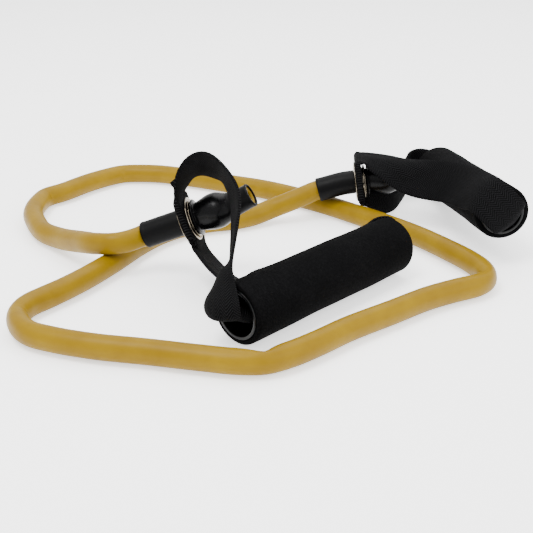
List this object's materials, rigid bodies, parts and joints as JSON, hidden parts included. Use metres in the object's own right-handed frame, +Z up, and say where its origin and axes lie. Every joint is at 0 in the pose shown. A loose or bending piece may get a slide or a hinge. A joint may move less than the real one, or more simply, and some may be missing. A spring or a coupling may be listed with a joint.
{
  "type": "resistance band",
  "caption": "exercise band: rubber tube whose plugged ends carry sliding metal eyelets, webbing loops and foam-covered grips",
  "frame": {"origin": "middle of the base of the grips, straps and sleeves taken together, on the surface that the band lies on", "axes": "+Z up; +Y from the near strand of the tube towards the eyelets; +X from the near end towards the far end"},
  "size_m": [0.2952, 0.2793, 0.0686],
  "materials": {
    "tube": "smooth translucent rubber, satin",
    "vinyl": "soft vinyl, glossy over the bulb",
    "plug": "plain moulded",
    "eyelet": "nickel plated",
    "webbing": "herringbone webbing",
    "core": "smooth",
    "foam": "fine closed-cell foam"
  },
  "bodies": {
    "band": {"tube": "tube", "near_cover_sleeve": "vinyl", "near_plug": "plug"},
    "far_end": {"far_cover_sleeve": "vinyl", "far_plug": "plug"},
    "near_eyelet": {"near_grommet": "eyelet", "near_grommet_washer": "eyelet"},
    "near_loop": {"near_strap": "webbing"},
    "near_grip": {"near_grip_core": "core", "near_grip_foam": "foam"},
    "far_eyelet": {"far_grommet": "eyelet", "far_grommet_washer": "eyelet"},
    "far_loop": {"far_strap": "webbing"},
    "far_grip": {"far_grip_core": "core", "far_grip_foam": "foam"}
  },
  "joints": [
    {"name": "band_stretch", "type": "slide", "parent": "band", "child": "far_end", "axis": [0.9889, -0.05, 0.1399], "range_m": [0, 0.3], "deforming": ["tube"]},
    {"name": "near_eyelet_slide", "type": "slide", "parent": "band", "child": "near_eyelet", "axis": [-0.9291, 0.075, -0.3621], "range_m": [0, 0.006]},
    {"name": "near_loop_swing", "type": "hinge", "parent": "near_eyelet", "child": "near_loop", "pos_m": [-0.08025, -0.02159, 0.03049], "axis": [-0.9291, 0.075, -0.3621], "range_deg": [0, 100]},
    {"name": "near_grip_spin", "type": "hinge", "parent": "near_loop", "child": "near_grip", "pos_m": [-0.0528, -0.10657, 0.0155], "axis": [0.6868, 0.7268, 0], "continuous": true},
    {"name": "far_eyelet_slide", "type": "slide", "parent": "far_end", "child": "far_eyelet", "axis": [-0.9889, 0.05, -0.1399], "range_m": [0, 0.003]},
    {"name": "far_loop_swing", "type": "hinge", "parent": "far_eyelet", "child": "far_loop", "pos_m": [0.01875, 0.06166, 0.02441], "axis": [0.9889, -0.05, 0.1399], "range_deg": [0, 90]},
    {"name": "far_grip_spin", "type": "hinge", "parent": "far_loop", "child": "far_grip", "pos_m": [0.0919, -0.00586, 0.02891], "axis": [-0.1376, 0.9842, -0.1117], "continuous": true}
  ]
}
